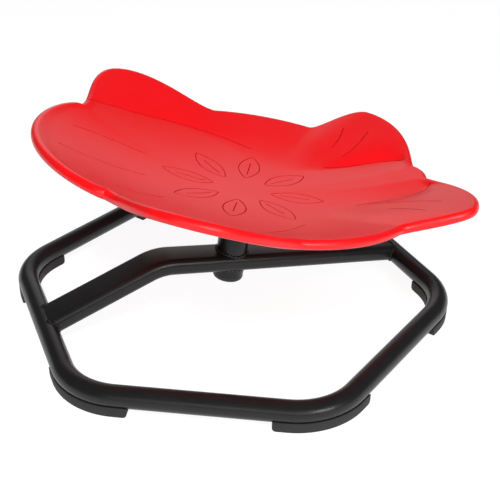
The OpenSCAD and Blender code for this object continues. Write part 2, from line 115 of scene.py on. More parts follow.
# %% Get ready to paint light
scene = bpy.context.scene
scene.view_settings.view_transform = "Standard"
print("view transform", scene.view_settings.view_transform)


def maths(tree, operation, first, second):
    """Works out one value from two, each of them a socket or a number."""
    node = tree.nodes.new("ShaderNodeMath")
    node.operation = operation
    for socket, value in zip(node.inputs, (first, second)):
        if isinstance(value, float):
            socket.default_value = value
        else:
            tree.links.new(value, socket)
    return node.outputs[0]


def seen_directly(tree):
    """A value of 1 for rays that the camera, a reflection or a clear piece sends, and 0 for the rest."""
    path = tree.nodes.new("ShaderNodeLightPath")
    seen = maths(tree, "MAXIMUM", path.outputs["Is Camera Ray"], path.outputs["Is Glossy Ray"])
    return maths(tree, "MAXIMUM", seen, path.outputs["Is Transmission Ray"])


# %% Paint the room
dark_room = 0.1
bright_wall = 0.6
wall_edge = 0.88
wall_shift = Vector((-0.1, 0.04, 0.38))
ahead_way = Vector((-back.x, -back.y, 0)).normalized()
wall_way = (ahead_way + wall_shift).normalized()
world = bpy.data.worlds.new("studio_room")
world.use_nodes = True
scene.world = world
tree = world.node_tree
room = tree.nodes["Background"]
room.inputs["Color"].default_value = (1, 1, 1, 1)
looking = tree.nodes.new("ShaderNodeTexCoord")
ahead = tree.nodes.new("ShaderNodeVectorMath")
ahead.operation = "DOT_PRODUCT"
ahead.inputs[1].default_value = wall_way
tree.links.new(looking.outputs["Generated"], ahead.inputs[0])
wall = tree.nodes.new("ShaderNodeMapRange")
wall.interpolation_type = "SMOOTHSTEP"
wall.inputs["From Min"].default_value = wall_edge
tree.links.new(ahead.outputs["Value"], wall.inputs["Value"])
path = tree.nodes.new("ShaderNodeLightPath")
lit = maths(tree, "MULTIPLY", wall.outputs["Result"], bright_wall)
reflected = maths(tree, "MULTIPLY", wall.outputs["Result"], path.outputs["Is Glossy Ray"])
strength = maths(tree, "MAXIMUM", maths(tree, "MAXIMUM", lit, dark_room), reflected)
for ray in ("Is Camera Ray", "Is Transmission Ray"):
    strength = maths(tree, "MAXIMUM", strength, path.outputs[ray])
tree.links.new(strength, room.inputs["Strength"])
print("room", dark_room, "wall", bright_wall)


# %% Hang the soft boxes
def soft_box(name, place, width, height, power, mirrored):
    """A lamp that faces the hub. Reflections show it only where that is asked for."""
    lamp = bpy.data.lights.new(name, "AREA")
    lamp.shape = "RECTANGLE"
    lamp.size = width
    lamp.size_y = height
    lamp.energy = power
    holder = bpy.data.objects.new(name, lamp)
    holder.location = place
    holder.rotation_euler = (hub_place - Vector(place)).to_track_quat("-Z", "Y").to_euler()
    holder.visible_glossy = mirrored
    scene.collection.objects.link(holder)


front_height = 0.79
front_distance = 2.16
front_place = Vector((0, 0, front_height)) - front_distance * ahead_way
soft_box("key_box", (-0.9, -1.3, 2.2), width=0.8, height=0.8, power=43, mirrored=False)
soft_box("side_box", (1.5, -1.3, 1.8), width=0.8, height=0.8, power=14, mirrored=False)
soft_box("front_box", front_place, width=1.8, height=0.8, power=8, mirrored=True)
soft_box("small_box", (0.5, -2.2, 0.95), width=0.9, height=0.35, power=18, mirrored=True)
print("four soft boxes hung")

# %% Lay the floor
floor_size = 14
floor_grey = (0.6, 0.6, 0.6, 1)
shadow_grey = (0.2, 0.2, 0.2, 1)
floor_glow = 0.92
bpy.ops.object.select_all(action="DESELECT")
bpy.ops.mesh.primitive_plane_add(size=floor_size, location=(0, 0, 0))
floor = bpy.context.active_object
floor.name = "floor"
floor_paint = bpy.data.materials.new("floor_paint")
floor_paint.use_nodes = True
tree = floor_paint.node_tree
tree.nodes.clear()
plain = tree.nodes.new("ShaderNodeBsdfDiffuse")
plain.inputs["Color"].default_value = floor_grey
shadow = tree.nodes.new("ShaderNodeBsdfDiffuse")
shadow.inputs["Color"].default_value = shadow_grey
glow = tree.nodes.new("ShaderNodeEmission")
glow.inputs["Strength"].default_value = floor_glow
bright = tree.nodes.new("ShaderNodeAddShader")
tree.links.new(shadow.outputs[0], bright.inputs[0])
tree.links.new(glow.outputs[0], bright.inputs[1])
choice = tree.nodes.new("ShaderNodeMixShader")
tree.links.new(seen_directly(tree), choice.inputs["Fac"])
tree.links.new(plain.outputs[0], choice.inputs[1])
tree.links.new(bright.outputs[0], choice.inputs[2])
result = tree.nodes.new("ShaderNodeOutputMaterial")
tree.links.new(choice.outputs[0], result.inputs["Surface"])
floor.data.materials.append(floor_paint)
print("floor laid,", floor_size, "m across")

# %% [markdown]
# ## A grain that every finish shares
# Powder paint, rubber, moulded plastic and plated steel all have a fine grain that breaks up the
# highlights and a broad mottle that shifts their tone. One node group makes both from the object's own
# coordinates, and each material sets its own sizes.

# %% Build the grain group
grain = bpy.data.node_groups.new("surface_grain", "ShaderNodeTree")
grain.interface.new_socket("Fine Scale", in_out="INPUT", socket_type="NodeSocketFloat")
grain.interface.new_socket("Broad Scale", in_out="INPUT", socket_type="NodeSocketFloat")
grain.interface.new_socket("Fine", in_out="OUTPUT", socket_type="NodeSocketFloat")
grain.interface.new_socket("Broad", in_out="OUTPUT", socket_type="NodeSocketFloat")
grain_in = grain.nodes.new("NodeGroupInput")
grain_out = grain.nodes.new("NodeGroupOutput")
grain_place = grain.nodes.new("ShaderNodeTexCoord")
for name, detail in (("Fine", 2), ("Broad", 3)):
    noise = grain.nodes.new("ShaderNodeTexNoise")
    noise.inputs["Detail"].default_value = detail
    grain.links.new(grain_place.outputs["Object"], noise.inputs["Vector"])
    grain.links.new(grain_in.outputs[name + " Scale"], noise.inputs["Scale"])
    grain.links.new(noise.outputs["Fac"], grain_out.inputs[name])
print("grain group ready")

# %% Write the recipe for a finish
grain_height = 0.2 * MM


def finish(name, dark, light, roughness, fine_scale, broad_scale, bump, metallic=0, specular=0.5):
    """A material that mottles between two colours and two roughnesses, with a fine bump."""
    material = bpy.data.materials.new(name)
    material.use_nodes = True
    tree = material.node_tree
    shader = tree.nodes["Principled BSDF"]
    shader.inputs["Metallic"].default_value = metallic
    shader.inputs["Specular IOR Level"].default_value = specular
    texture = tree.nodes.new("ShaderNodeGroup")
    texture.node_tree = grain
    texture.inputs["Fine Scale"].default_value = fine_scale
    texture.inputs["Broad Scale"].default_value = broad_scale
    colour = tree.nodes.new("ShaderNodeMix")
    colour.data_type = "RGBA"
    colour.inputs["A"].default_value = (*dark, 1)
    colour.inputs["B"].default_value = (*light, 1)
    tree.links.new(texture.outputs["Broad"], colour.inputs["Factor"])
    tree.links.new(colour.outputs["Result"], shader.inputs["Base Color"])
    gloss = tree.nodes.new("ShaderNodeMapRange")
    gloss.inputs["To Min"].default_value = roughness[0]
    gloss.inputs["To Max"].default_value = roughness[1]
    tree.links.new(texture.outputs["Broad"], gloss.inputs["Value"])
    tree.links.new(gloss.outputs["Result"], shader.inputs["Roughness"])
    relief = tree.nodes.new("ShaderNodeBump")
    relief.inputs["Strength"].default_value = bump
    relief.inputs["Distance"].default_value = grain_height
    tree.links.new(texture.outputs["Fine"], relief.inputs["Height"])
    tree.links.new(relief.outputs["Normal"], shader.inputs["Normal"])
    return material


# %% [markdown]
# ## The finishes
# Black powder paint has a slight orange-peel and a soft gloss. The feet are duller rubber. The seat is
# a saturated red plastic with a satin skin that turns pinkish where it mirrors the white wall. Its grooves
# are duller, and painted shade darkens their colour. The small metal pieces are zinc plated, ground
# or brass.

# %% Mix the finishes
powder_black = finish(
    "powder_black", (0.008, 0.008, 0.0085), (0.013, 0.013, 0.0135), (0.27, 0.35), 650, 30, 0.6,
    specular=0.36)
rubber_black = finish(
    "rubber_black", (0.016, 0.016, 0.017), (0.024, 0.024, 0.025), (0.62, 0.78), 1400, 40, 0.5)
cap_black = finish("cap_black", (0.012, 0.012, 0.013), (0.018, 0.018, 0.019), (0.4, 0.5), 1200, 40, 0.3)
seat_red = finish("seat_red", (0.9, 0.003, 0.006), (0.94, 0.005, 0.009), (0.3, 0.4), 1500, 9, 0.12)
zinc_plate = finish(
    "zinc_plate", (0.6, 0.61, 0.63), (0.72, 0.73, 0.75), (0.16, 0.3), 700, 60, 0.1, metallic=1)
ground_steel = finish(
    "ground_steel", (0.5, 0.51, 0.52), (0.6, 0.61, 0.62), (0.2, 0.34), 800, 50, 0.1, metallic=1)
turned_brass = finish(
    "turned_brass", (0.66, 0.47, 0.16), (0.74, 0.55, 0.22), (0.22, 0.36), 800, 50, 0.1, metallic=1)
finishes = (powder_black, rubber_black, cap_black, seat_red, zinc_plate, ground_steel, turned_brass)
print("finishes:", [material.name for material in finishes])

# %% Paint shade into the grooves
# Painted shade: a darker red for the groove faces, standing in for the shade inside the narrow grooves.
groove_shade_red = (0.62, 0.002, 0.004, 1)
groove_roughness = 0.8


def overlay(material, name, mask, value):
    """Lays a value over what reaches one of the shader's sockets, where the mask is 1."""
    tree = material.node_tree
    socket = tree.nodes["Principled BSDF"].inputs[name]
    cover = tree.nodes.new("ShaderNodeMix")
    cover.data_type = "FLOAT" if socket.type == "VALUE" else "RGBA"
    tree.links.new(mask, cover.inputs["Factor"])
    tree.links.new(socket.links[0].from_socket, cover.inputs["A"])
    cover.inputs["B"].default_value = value
    tree.links.new(cover.outputs["Result"], socket)


# Painted shade: the seat's colour is darkened on the groove faces, and they are also made duller.
groove_shade_mask = seat_red.node_tree.nodes.new("ShaderNodeAttribute")
groove_shade_mask.attribute_name = "groove"
overlay(seat_red, "Base Color", groove_shade_mask.outputs["Fac"], groove_shade_red)
overlay(seat_red, "Roughness", groove_shade_mask.outputs["Fac"], groove_roughness)
print("grooves of", seat_red.name, "darkened")

# %% [markdown]
# ## The workbench
# Each piece is modelled where it is easiest, then set in place, named, given its finish and hung on the
# body that carries it. These few helpers do that the same way every time.

# %% Make the helpers
hair = 0.01 * MM


def fresh():
    """Nothing selected, so that the next operator only meets the new piece."""
    if bpy.context.mode != "OBJECT":
        bpy.ops.object.mode_set(mode="OBJECT")
    bpy.ops.object.select_all(action="DESELECT")


def pick(obj):
    """Makes one object the only selected and active one."""
    fresh()
    obj.select_set(True)
    bpy.context.view_layer.objects.active = obj
    return obj


def outline_piece(name, points, closed):
    """A new object of bare edges through the points, picked and in edit mode with all of it selected."""
    mesh = bpy.data.meshes.new(name)
    edges = [(i, i + 1) for i in range(len(points) - 1)]
    if closed:
        edges.append((len(points) - 1, 0))
    mesh.from_pydata(points, edges, [])
    obj = bpy.data.objects.new(name, mesh)
    scene.collection.objects.link(obj)
    pick(obj)
    bpy.ops.object.mode_set(mode="EDIT")
    bpy.ops.mesh.select_all(action="SELECT")
    return obj


def close_up(obj):
    """Merges doubled points, turns all faces outwards and goes back to object mode."""
    bpy.ops.mesh.select_all(action="SELECT")
    bpy.ops.mesh.remove_doubles(threshold=hair)
    bpy.ops.mesh.normals_make_consistent(inside=False)
    bpy.ops.object.mode_set(mode="OBJECT")
    return obj


def add_modifier(obj, kind, **settings):
    """Adds a modifier, sets it and applies it."""
    pick(obj)
    modifier = obj.modifiers.new(kind.lower(), kind)
    for key, value in settings.items():
        setattr(modifier, key, value)
    bpy.ops.object.modifier_apply(modifier=modifier.name)


def place(obj, matrix):
    """Moves a finished shape to its place and leaves the object at the origin."""
    pick(obj)
    obj.matrix_world = matrix
    bpy.ops.object.transform_apply(location=True, rotation=True, scale=True)


def close_ends(obj):
    """Fills the open ends of a tube or bar, then closes it up."""
    bpy.ops.mesh.select_all(action="SELECT")
    bpy.ops.mesh.remove_doubles(threshold=hair)
    bpy.ops.mesh.fill_holes(sides=0)
    return close_up(obj)


def select_edges(obj, test):
    """Enters edit mode with just the edges selected whose two ends pass the test."""
    pick(obj)
    bpy.ops.object.mode_set(mode="EDIT")
    bpy.ops.mesh.select_mode(type="EDGE")
    bpy.ops.mesh.select_all(action="DESELECT")
    bpy.ops.object.mode_set(mode="OBJECT")
    for edge in obj.data.edges:
        edge.select = all(test(obj.data.vertices[v].co) for v in edge.vertices)
    bpy.ops.object.mode_set(mode="EDIT")


# %% Cut, copy and join
def cut_away(obj, tool, **settings):
    """Cuts the tool's shape out of the piece and throws the tool away."""
    add_modifier(obj, "BOOLEAN", operation="DIFFERENCE", object=tool, solver="EXACT", **settings)
    bpy.data.objects.remove(tool, do_unlink=True)


def copied(obj, name, matrix):
    """A copy with its own mesh, set in place."""
    twin = obj.copy()
    twin.data = obj.data.copy()
    twin.name = name
    scene.collection.objects.link(twin)
    place(twin, matrix)
    return twin


def joined(name, obj, matrices):
    """One piece of copies at all those places. The pattern is thrown away."""
    twins = [copied(obj, name, m) for m in matrices]
    pick(twins[0])
    for twin in twins:
        twin.select_set(True)
    bpy.ops.object.join()
    bpy.data.objects.remove(obj, do_unlink=True)
    return twins[0]


# %% Draw profiles and turn them
def eased(profile, radius, steps=4, most=0.3):
    """The profile with each inner corner rounded, by no more than that share of the sides that meet there.

    A point is kept close on both sides of each corner.
    """
    points = [profile[0]]
    for a, b, c in zip(profile, profile[1:], profile[2:]):
        a, b, c = Vector(a), Vector(b), Vector(c)
        to_a = (a - b).normalized()
        to_c = (c - b).normalized()
        cut = min(radius, most * (a - b).length, most * (c - b).length)
        start = b + to_a * cut
        end = b + to_c * cut
        points.append(tuple(start + to_a * cut / 2))
        for i in range(steps + 1):
            s = i / steps
            points.append(tuple(start.lerp(b, s).lerp(b.lerp(end, s), s)))
        points.append(tuple(end + to_c * cut / 2))
    return points + [profile[-1]]


def sleeve(inner, outer, low, high, ease):
    """The eased profile of a plain ring or pipe."""
    return eased([(inner, low), (outer, low), (outer, high), (inner, high), (inner, low)], ease)


def turned(name, profile, steps=64):
    """A body of revolution about Z: the profile of (radius, height) in mm is spun one full turn."""
    obj = outline_piece(name, [(r * MM, 0, z * MM) for r, z in profile], False)
    bpy.ops.mesh.spin(steps=steps, angle=2 * math.pi, center=(0, 0, 0), axis=(0, 0, 1))
    return close_up(obj)


def arc(middle, radius, start, end, steps):
    """Points in a plane along an arc, angles in degrees."""
    angles = [math.radians(start + (end - start) * i / steps) for i in range(steps + 1)]
    return [(middle[0] + radius * math.cos(a), middle[1] + radius * math.sin(a)) for a in angles]


# %% Fit a piece to the frame
def fit(obj, body, material, slot, *stands_for, smooth=35):
    """Gives a piece its shading, finish and body, and hides the nodes that it stands for. The slot is not
    used.
    """
    pick(obj)
    bpy.ops.object.shade_smooth_by_angle(angle=math.radians(smooth))
    obj.data.materials.clear()
    obj.data.materials.append(material)
    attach(obj, body)
    if stands_for:
        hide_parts(*stands_for)
    print(obj.name, len(obj.data.polygons), "faces")


# %% [markdown]
# ## The ring
# The base is one tube, bent six times and closed into a hexagon. By hand it starts as a circle across
# the middle of one flat. The circle is extruded along the straight and spun round each bend, which is
# how the tube really is made, and the last circle is merged with the first.

# %% Bend the ring
tube_sides = 48
bend_steps = 16
fresh()
bpy.ops.mesh.primitive_circle_add(
    vertices=tube_sides, radius=tube_r, location=ring_middle + Vector((flat_distance, 0, 0)),
    rotation=(math.pi / 2, 0, 0))
ring = bpy.context.active_object
ring.name = "ring_tube"
bpy.ops.object.transform_apply(location=True, rotation=True, scale=True)
bpy.ops.object.mode_set(mode="EDIT")
bpy.ops.mesh.select_all(action="SELECT")
for corner in range(6):
    heading = math.radians(90 + 60 * corner)
    run = side_length if corner else side_length / 2
    step = Vector((math.cos(heading), math.sin(heading), 0)) * run
    bpy.ops.mesh.extrude_region_move(TRANSFORM_OT_translate={"value": step})
    aim = math.radians(30 + 60 * corner)
    centre = ring_middle + Vector((math.cos(aim), math.sin(aim), 0)) * bend_middle
    bpy.ops.mesh.spin(steps=bend_steps, angle=math.radians(-60), center=centre, axis=(0, 0, 1))
bpy.ops.mesh.extrude_region_move(TRANSFORM_OT_translate={"value": (0, side_length / 2, 0)})
close_up(ring)
fit(ring, "base", powder_black, "frame_paint", "base_ring", smooth=60)

# %% [markdown]
# ## The crossbar
# A rounded rectangular tube crosses the ring. It leans up to the hub and on to its bend, then drops
# steeply to the far side. A flat rectangle with rounded corners is extruded down the long leg, spun
# round the bend and extruded again. Both ends stop inside the ring's tube, where the welds hide them.

# %% Bend the crossbar
bar_width = 50 * MM
bar_height = 24 * MM
bar_corner = 9 * MM
bar_end_rise = 1 * MM
bar_peak = 108 * MM
bar_bend_r = 70 * MM
bar_corner_steps = 8
bar_bend_steps = 12
bar_end_z = ring_middle.z + bar_end_rise
peak = Vector((
    hub_place.x - bar_peak * math.cos(hub_lean), 0, hub_place.z + bar_peak * math.sin(hub_lean)))
back_slope = math.atan2(peak.z - bar_end_z, flat_distance - (ring_middle.x - peak.x))
bar_bend = hub_lean + back_slope
bend_tangent = bar_bend_r * math.tan(bar_bend / 2)
front_way = Vector((math.cos(hub_lean), 0, -math.sin(hub_lean)))
back_way = Vector((-math.cos(back_slope), 0, -math.sin(back_slope)))
front_end = Vector((ring_middle.x + flat_distance, 0, bar_end_z))
back_end = Vector((ring_middle.x - flat_distance, 0, bar_end_z))


def rounded_rectangle(width, height, radius, steps):
    """Points round a rectangle with rounded corners, as (across, up)."""
    x = width / 2 - radius
    y = height / 2 - radius
    corners = ((x, y, 0), (-x, y, 90), (-x, -y, 180), (x, -y, 270))
    return [p for cx, cy, a in corners for p in arc((cx, cy), radius, a, a + 90, steps)]


bar_outline = rounded_rectangle(bar_width, bar_height, bar_corner, bar_corner_steps)
front_up = Vector((math.sin(hub_lean), 0, math.cos(hub_lean)))
bar_start = [front_end + front_up * up + Vector((0, across, 0)) for across, up in bar_outline]
bar = outline_piece("crossbar_tube", bar_start, True)
front_run = (front_end - peak).length - bend_tangent
back_run = (back_end - peak).length - bend_tangent
bpy.ops.mesh.extrude_region_move(TRANSFORM_OT_translate={"value": -front_way * front_run})
bend_centre = peak + front_way * bend_tangent - front_up * bar_bend_r
bpy.ops.mesh.spin(steps=bar_bend_steps, angle=bar_bend, center=bend_centre, axis=(0, 1, 0))
bpy.ops.mesh.extrude_region_move(TRANSFORM_OT_translate={"value": back_way * back_run})
close_ends(bar)
fit(bar, "base", powder_black, "frame_paint", "crossbar")

# %% [markdown]
# ## The feet
# Each foot is a moulded rubber crescent. Its section is a block with a round cradle on top for the tube.
# The section is extruded into a short tail, spun round the bend and extruded into the other tail, then
# the lower corners of the ends are rounded and every sharp edge is softened a little.

# %% Mould one foot
foot_drop = ring_low.z
foot_wrap = 7 * MM
foot_gap = 0.15 * MM
foot_tail = 17 * MM
foot_end_round = 5 * MM
cradle_steps = 14
cradle_r = tube_r + foot_gap
lip_z = foot_wrap - tube_r
lip_angle = math.degrees(math.asin(lip_z / cradle_r))
sole_z = -tube_r - foot_drop
foot_section = [(-tube_r, lip_z), (-tube_r, sole_z), (tube_r, sole_z), (tube_r, lip_z)]
foot_section += arc((0, 0), cradle_r, lip_angle, -180 - lip_angle, cradle_steps)
start_way = Vector((math.cos(half_corner), -math.sin(half_corner), 0))
tail_way = Vector((math.sin(half_corner), math.cos(half_corner), 0))
end_way = Vector((-math.sin(half_corner), math.cos(half_corner), 0))
start_middle = start_way * bend_r - tail_way * foot_tail
foot = outline_piece(
    "foot_mould", [start_middle + start_way * x + Vector((0, 0, z)) for x, z in foot_section], True)
bpy.ops.mesh.extrude_region_move(TRANSFORM_OT_translate={"value": tail_way * foot_tail})
bpy.ops.mesh.spin(steps=bend_steps, angle=-2 * half_corner, center=(0, 0, 0), axis=(0, 0, 1))
bpy.ops.mesh.extrude_region_move(TRANSFORM_OT_translate={"value": end_way * foot_tail})
close_ends(foot)
print("foot section", len(foot_section), "points")


# %% Round its ends and edges
def on_foot_end(co):
    """True for a point on the lower edge of either end of the foot."""
    folded = Vector((co.x, -abs(co.y), 0))
    return abs(co.z - sole_z) < hair and abs((folded - start_middle).dot(tail_way)) < hair


foot_edge = 0.7 * MM
sharp = math.radians(40)
select_edges(foot, on_foot_end)
bpy.ops.mesh.bevel(offset=foot_end_round, segments=6, affect="EDGES")
bpy.ops.object.mode_set(mode="OBJECT")
add_modifier(foot, "BEVEL", width=foot_edge, segments=2, limit_method="ANGLE", angle_limit=sharp)
print("foot softened to", len(foot.data.polygons), "faces")

# %% Sink its screw holes
screw_angle = math.radians(17)
screw_hole_r = 4 * MM
screw_hole_length = 6.4 * MM
screw_spots = [Vector((math.cos(a), math.sin(a), 0)) * bend_r for a in (-screw_angle, screw_angle)]
for spot_on_bend in screw_spots:
    fresh()
    bpy.ops.mesh.primitive_cylinder_add(
        radius=screw_hole_r, depth=screw_hole_length, vertices=32,
        location=spot_on_bend + Vector((0, 0, sole_z)))
    cut_away(foot, bpy.context.active_object)
print(len(screw_spots), "screw holes sunk")


# %% Copy it to the six bends
def on_bend(corner):
    """The place of one of the six bends: the middle of its curve, turned to face out of the ring."""
    turn = Matrix.Rotation(math.radians(30 + 60 * corner), 4, "Z")
    return Matrix.Translation(ring_middle) @ turn @ Matrix.Translation((bend_middle, 0, 0))


for corner in range(6):
    pad = copied(foot, "foot_pad_" + str(corner + 1), on_bend(corner))
    fit(pad, "base", rubber_black, "foot_rubber", "foot_" + str(corner + 1))
bpy.data.objects.remove(foot, do_unlink=True)

# %% [markdown]
# ## The foot screws
# Two self-tapping screws hold each foot, with their pan heads sunk in the sole. One is turned from its
# profile, a cross is cut in its head, and the other eleven are copies.

# %% Turn one screw and copy it
screw_profile = [
    (0, 1), (2.3, 1), (3.1, 1.4), (3.5, 2.2), (3.5, 3.2), (2, 3.2), (2, 10.5), (0, 12)]
screw_face = 1 * MM
cross_size = (4 * MM, 0.9 * MM, 2.2 * MM)
screw = turned("foot_screw", screw_profile, steps=24)
for turn in (0, math.pi / 2):
    fresh()
    bpy.ops.mesh.primitive_cube_add(size=1, location=(0, 0, screw_face), rotation=(0, 0, turn))
    cross_tool = bpy.context.active_object
    cross_tool.scale = cross_size
    bpy.ops.object.transform_apply(location=True, rotation=True, scale=True)
    cut_away(screw, cross_tool)
screw_places = [
    on_bend(corner) @ Matrix.Translation(spot_on_bend + Vector((0, 0, -ring_middle.z)))
    for corner in range(6) for spot_on_bend in screw_spots]
screws = joined("foot_screw_set", screw, screw_places)
fit(screws, "base", zinc_plate, "plated_steel", "foot_screws")

# %% [markdown]
# ## The hub
# The hub is a stack of turned pieces on one leaning axis: the housing welded through the bar, a round
# cap below, a bright washer on top and the stem that carries the seat. Each is a profile spun about Z
# with its corners eased, then leaned over with the hub.

# %% Turn the hub
hub_r = 21.5
bearing_r = 17.5
bore_r = 15.5
hub_low = -23.5
hub_high = 36
lower_shoulder = -8.5
upper_shoulder = 23
cap_low = -31
cap_round = 5
cap_roof = -29
plug_r = 17.48
plug_high = -19.52
washer_low = 36.4
stem_low = 38.4
plate_low = 84.5
housing_profile = [
    (bore_r, lower_shoulder), (bearing_r, lower_shoulder), (bearing_r, hub_low), (hub_r, hub_low),
    (hub_r, hub_high), (bearing_r, hub_high), (bearing_r, upper_shoulder), (bore_r, upper_shoulder),
    (bore_r, lower_shoulder)]
cap_profile = [(0, cap_low)] + arc((hub_r - cap_round, cap_low + cap_round), cap_round, -90, 0, 10) + [
    (hub_r, hub_low), (plug_r, hub_low), (plug_r, plug_high), (bore_r, plug_high), (bore_r, cap_roof),
    (0, cap_roof)]
housing = turned("hub_tube", eased(housing_profile, 0.6))
cap = turned("hub_end_cap", cap_profile)
washer = turned("dust_ring", sleeve(10.62, 21, washer_low, stem_low, 0.5))
stem = turned("stem_pipe", sleeve(14, 17, stem_low, plate_low, 0.5))
for piece in (housing, cap, washer, stem):
    place(piece, at_hub)
fit(housing, "base", powder_black, "frame_paint", "hub_housing")
fit(cap, "base", cap_black, "cap_plastic", "hub_cap")
fit(washer, "seat", zinc_plate, "plated_steel", "dust_washer")
fit(stem, "seat", powder_black, "frame_paint", "stem_tube")

# %% [markdown]
# ## The welds
# The bar is welded to the ring at both ends and to the housing above and below. A weld is a bead with a
# ripple, so each is a thin closed curve along the joint whose thickness swells and shrinks, turned to
# mesh. The joint's line is worked out from the two surfaces that meet.

# %% Write the bead
ripple_length = 4 * MM
ripple_share = 0.16
drift_share = 0.1


def bead(name, points, radius):
    """A closed weld bead along the points, with a ripple and a slow drift in its thickness."""
    curve = bpy.data.curves.new(name, "CURVE")
    curve.dimensions = "3D"
    curve.bevel_depth = radius
    curve.bevel_resolution = 3
    line = curve.splines.new("POLY")
    line.points.add(len(points) - 1)
    line.use_cyclic_u = True
    way = 0
    for i, p in enumerate(points):
        way += (Vector(p) - Vector(points[i - 1])).length
        line.points[i].co = (*p, 1)
        ripple = ripple_share * math.sin(2 * math.pi * way / ripple_length)
        drift = drift_share * math.sin(way / ripple_length)
        line.points[i].radius = 1 + ripple + drift
    obj = bpy.data.objects.new(name, curve)
    scene.collection.objects.link(obj)
    pick(obj)
    bpy.ops.object.convert(target="MESH")
    return bpy.context.active_object


def bar_surface(across):
    """Height of the bar's skin above its middle at that distance across it."""
    beyond = max(0, abs(across) - (bar_width / 2 - bar_corner))
    return bar_height / 2 - bar_corner + math.sqrt(max(0, bar_corner ** 2 - beyond ** 2))


# %% Weld the hub
hub_weld_r = 2.2 * MM
hub_weld_points = 180
hub_skin = hub_r * MM
circle = [2 * math.pi * i / hub_weld_points for i in range(hub_weld_points)]
for name, side in (("hub_weld_top", 1), ("hub_weld_bottom", -1)):
    run = []
    for a in circle:
        across = hub_skin * math.sin(a)
        run.append(at_hub @ Vector((hub_skin * math.cos(a), across, side * bar_surface(across))))
    fit(bead(name, run, hub_weld_r), "base", powder_black, "frame_paint", smooth=60)

# %% Weld the bar's ends
end_weld_r = 2 * MM
weld_corner_steps = 10
points_between = 4
weld_outline = rounded_rectangle(bar_width, bar_height, bar_corner, weld_corner_steps)
back_up = Vector((-math.sin(back_slope), 0, math.cos(back_slope)))
for name, end, way, up_way in (
        ("front_weld", front_end, front_way, front_up), ("back_weld", back_end, back_way, back_up)):
    axis_point = Vector((end.x, 0, ring_middle.z))
    run = []
    for across, up in weld_outline:
        start = end + up_way * up - axis_point
        along = start.dot(way)
        reach = along + math.sqrt(along ** 2 - start.length_squared + tube_r ** 2)
        run.append(axis_point + start - way * reach + Vector((0, across, 0)))
    dense = [
        run[i - 1].lerp(run[i], s / points_between) for i in range(len(run)) for s in range(points_between)]
    fit(bead(name, dense, end_weld_r), "base", powder_black, "frame_paint", smooth=60)

# %% [markdown]
# ## The seat's fixing
# A round plate on the stem carries the seat with four hexagon bolts and their washers. They only show
# from below. The bolt head is a hexagon trimmed by a turned shape, as a real one is chamfered on a lathe.

# %% Make the plate
plate_r = 70
plate_high = 88.5
plate_profile = [(0, plate_low), (plate_r, plate_low), (plate_r, plate_high), (0, plate_high)]
plate = turned("seat_disc", eased(plate_profile, 0.8), steps=96)
place(plate, at_seat)
fit(plate, "seat", powder_black, "frame_paint", "seat_plate")

# %% Make the bolts and washers
bolt_circle_r = 55 * MM
bolt_corner_r = 10 / math.sqrt(3) * MM
bolt_head = 4 * MM
bolt_head_middle = 80.9 * MM
bolt_places = [
    at_seat @ Matrix.Rotation(math.radians(45 + 90 * i), 4, "Z") @ Matrix.Translation((bolt_circle_r, 0, 0))
    for i in range(4)]
fresh()
bpy.ops.mesh.primitive_cylinder_add(
    vertices=6, radius=bolt_corner_r, depth=bolt_head, location=(0, 0, bolt_head_middle))
bolt = bpy.context.active_object
bpy.ops.object.transform_apply(location=True, rotation=True, scale=True)
trim = turned("bolt_trim", [(0, 78.9), (4.7, 78.9), (5.8, 79.6), (5.8, 83.5), (0, 83.5)], steps=48)
add_modifier(bolt, "BOOLEAN", operation="INTERSECT", object=trim, solver="EXACT")
bpy.data.objects.remove(trim, do_unlink=True)
shank = turned("bolt_shank", [(0, 82.5), (3, 82.5), (3, 98.1), (2.2, 98.9), (0, 98.9)], steps=24)
pick(bolt)
shank.select_set(True)
bpy.ops.object.join()
bolts = joined("seat_bolt_set", bolt, bolt_places)
fit(bolts, "seat", zinc_plate, "plated_steel", "seat_bolts")
ring_washer = turned("bolt_washer", sleeve(3.02, 6, 82.9, plate_low, 0.3), steps=32)
washers = joined("bolt_washer_set", ring_washer, bolt_places)
fit(washers, "seat", zinc_plate, "plated_steel", "bolt_washers")

# %% [markdown]
# ## The rim of the seat
# The seat is one moulded dish with seven lobes: a head, two arms, two short sides and two long legs,
# and a slight bulge at the tail between the legs. Its rim is written as notches, each with an angle, a
# distance and a rise, and as lobes that swell between them by a reach and a rise. One half is written
# out and the other is its mirror image.

# %% Write the notches and lobes
tail_notch = (4.5, 264, 38)
foot_notch = (49, 235, 34)
side_notch = (88, 224, 36)
arm_notch = (144.5, 257, 56)
tail_swell = (4, 1.5)
foot_swell = (63, 29)
side_swell = (0.5, 0)
arm_swell = (58, 32)
head_swell = (24, 10)
tail_form = (0.5, 0.7, 0.7)
foot_form = (0.7, 1.2, 1.85)
side_form = (0.5, 0.85, 0.85)
arm_form = (0.55, 1.75, 1.85)
head_form = (0.5, 0.5, 0.5)


def mix(a, b, s):
    """The value that lies the share s of the way from a to b."""
    return a + (b - a) * s


def mirrored(p):
    """The rim point on the other half of the seat."""
    return (360 - p[0], p[1], p[2])


def swell(s, form):
    """Rises from 0 to 1 at the crest and falls back to 0, each side with its own power."""
    crest, before, after = form
    if s < crest:
        return math.sin(math.pi / 2 * s / crest) ** before
    return math.sin(math.pi / 2 * (1 - s) / (1 - crest)) ** after


def lobe(start, end, crest, form, steps, share=1.0):
    """Rim points from one notch towards the next, with the reach and rise that the crest adds."""
    reach, rise = crest
    points = []
    for i in range(steps):
        s = share * i / steps
        angle, distance, height = (mix(a, b, s) for a, b in zip(start, end))
        points.append((angle, distance + reach * swell(s, form), height + rise * swell(s, form)))
    return points


